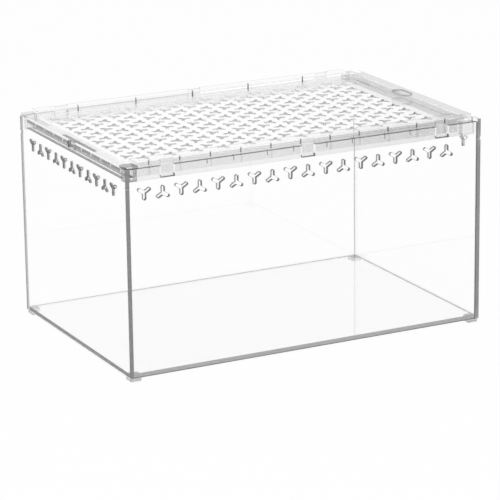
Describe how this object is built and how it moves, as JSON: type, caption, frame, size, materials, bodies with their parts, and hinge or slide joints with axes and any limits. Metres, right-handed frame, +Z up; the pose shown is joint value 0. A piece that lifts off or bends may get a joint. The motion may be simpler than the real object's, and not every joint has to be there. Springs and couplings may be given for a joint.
{
  "type": "tarantula enclosure",
  "caption": "Clear rectangular spider enclosure with vented walls, corner feet, a clip-on lid frame and a perforated sliding top panel.",
  "frame": {"origin": "centre of the footprint, on the surface that the feet stand on", "axes": "+X along the length towards the end the panel slides out of, +Y from front to back, +Z up"},
  "size_m": [0.3, 0.196, 0.1662],
  "materials": {
    "clear_sheet": "clear polished acrylic sheet",
    "clear_pad": "clear soft plastic pad",
    "clear_moulding": "clear injection moulding, polished",
    "clear_panel": "clear perforated sheet, polished faces",
    "clear_pull": "clear moulding, slightly grey",
    "clear_clip": "clear springy moulding"
  },
  "bodies": {
    "tank": {"floor_panel": "clear_sheet", "front_wall": "clear_sheet", "back_wall": "clear_sheet", "left_wall": "clear_sheet", "right_wall": "clear_sheet", "foot_front_left": "clear_pad", "foot_front_right": "clear_pad", "foot_back_left": "clear_pad", "foot_back_right": "clear_pad"},
    "lid_frame": {"front_rail": "clear_moulding", "back_rail": "clear_moulding", "left_end_rail": "clear_moulding", "right_end_rail": "clear_moulding", "corner_block_front_left": "clear_moulding", "corner_block_front_right": "clear_moulding", "corner_block_back_left": "clear_moulding", "corner_block_back_right": "clear_moulding"},
    "panel": {"sliding_panel": "clear_panel", "panel_pull": "clear_pull"},
    "clip_front_left": {"clip_front_left": "clear_clip"},
    "clip_front_middle": {"clip_front_middle": "clear_clip"},
    "clip_front_right": {"clip_front_right": "clear_clip"},
    "clip_back_left": {"clip_back_left": "clear_clip"},
    "clip_back_middle": {"clip_back_middle": "clear_clip"},
    "clip_back_right": {"clip_back_right": "clear_clip"},
    "clip_left_end": {"clip_left_end": "clear_clip"}
  },
  "joints": [
    {"name": "lid_lift", "type": "slide", "parent": "tank", "child": "lid_frame", "axis": [0, 0, 1], "range_m": [0, 0.06]},
    {"name": "panel_slide", "type": "slide", "parent": "lid_frame", "child": "panel", "axis": [1, 0, 0], "range_m": [0, 0.25]},
    {"name": "clip_front_left_flex", "type": "hinge", "parent": "lid_frame", "child": "clip_front_left", "pos_m": [-0.116, -0.0965, 0.1645], "axis": [-1, 0, 0], "range_deg": [0, 15], "stiffness_Nm_per_rad": 0.02},
    {"name": "clip_front_middle_flex", "type": "hinge", "parent": "lid_frame", "child": "clip_front_middle", "pos_m": [0, -0.0965, 0.1645], "axis": [-1, 0, 0], "range_deg": [0, 15], "stiffness_Nm_per_rad": 0.02},
    {"name": "clip_front_right_flex", "type": "hinge", "parent": "lid_frame", "child": "clip_front_right", "pos_m": [0.116, -0.0965, 0.1645], "axis": [-1, 0, 0], "range_deg": [0, 15], "stiffness_Nm_per_rad": 0.02},
    {"name": "clip_back_left_flex", "type": "hinge", "parent": "lid_frame", "child": "clip_back_left", "pos_m": [-0.116, 0.0965, 0.1645], "axis": [1, 0, 0], "range_deg": [0, 15], "stiffness_Nm_per_rad": 0.02},
    {"name": "clip_back_middle_flex", "type": "hinge", "parent": "lid_frame", "child": "clip_back_middle", "pos_m": [0, 0.0965, 0.1645], "axis": [1, 0, 0], "range_deg": [0, 15], "stiffness_Nm_per_rad": 0.02},
    {"name": "clip_back_right_flex", "type": "hinge", "parent": "lid_frame", "child": "clip_back_right", "pos_m": [0.116, 0.0965, 0.1645], "axis": [1, 0, 0], "range_deg": [0, 15], "stiffness_Nm_per_rad": 0.02},
    {"name": "clip_left_end_flex", "type": "hinge", "parent": "lid_frame", "child": "clip_left_end", "pos_m": [-0.1485, 0, 0.162], "axis": [0, 1, 0], "range_deg": [0, 15], "stiffness_Nm_per_rad": 0.02}
  ]
}
